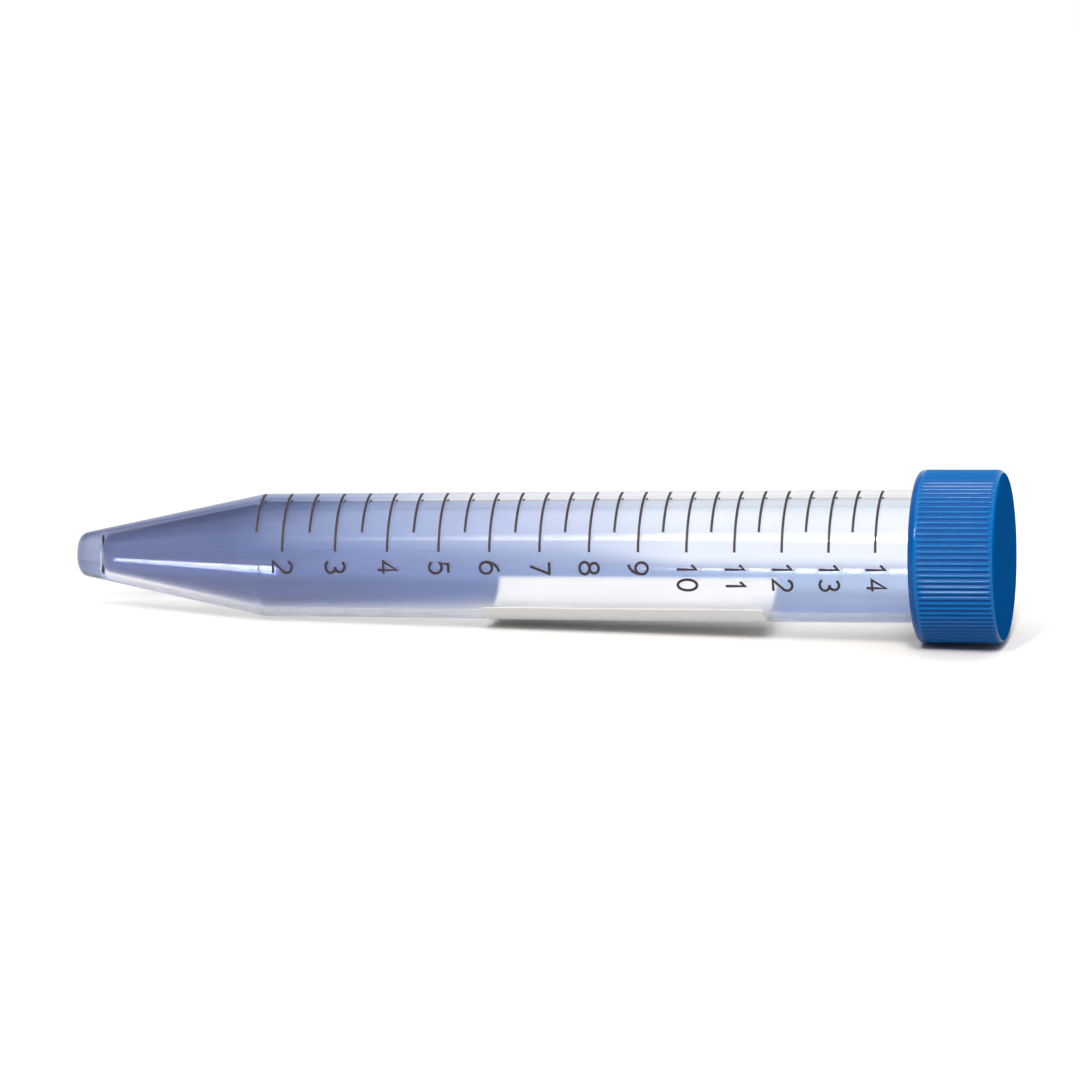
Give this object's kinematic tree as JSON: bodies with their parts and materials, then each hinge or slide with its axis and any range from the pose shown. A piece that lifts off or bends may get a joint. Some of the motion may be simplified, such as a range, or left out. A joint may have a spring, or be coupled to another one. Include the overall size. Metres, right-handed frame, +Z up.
{
  "type": "15 ml conical tube",
  "caption": "Clear conical-bottom sample tube with printed volume scale and white writing panel, closed by a ribbed blue screw cap with a sealing disc.",
  "frame": {"origin": "on the floor, under the middle of the lying tube's bounding box", "axes": "+X along the tube from its tip towards its cap, level with the floor; +Z up; the tube's own axis leans about 2.1 degrees up from +X towards the cap, and the scale is on the -Y side"},
  "size_m": [0.1204, 0.022, 0.0223],
  "materials": {
    "clear_plastic": "clear moulded, glossy",
    "dark_ink": "screen-printed ink",
    "white_ink": "screen-printed opaque white",
    "liner_plastic": "soft foamed plastic",
    "blue_plastic": "moulded, semi-gloss"
  },
  "bodies": {
    "tube": {"tube": "clear_plastic", "scale_marks": "dark_ink", "writing_panel": "white_ink"},
    "liner": {"cap_liner": "liner_plastic"},
    "cap": {"screw_cap": "blue_plastic"}
  },
  "joints": [
    {"name": "cap_rise", "type": "slide", "parent": "tube", "child": "liner", "axis": [0.9993, 0, 0.0369], "range_m": [0, 0.012]},
    {"name": "cap_turn", "type": "hinge", "parent": "liner", "child": "cap", "pos_m": [0.04881, 0, 0.01096], "axis": [0.9993, 0, 0.0369], "range_deg": [0, 1440]}
  ],
  "couplings": [
    {"joint": "cap_rise", "follows": "cap_turn", "m_per_rad": 0.00047746}
  ]
}
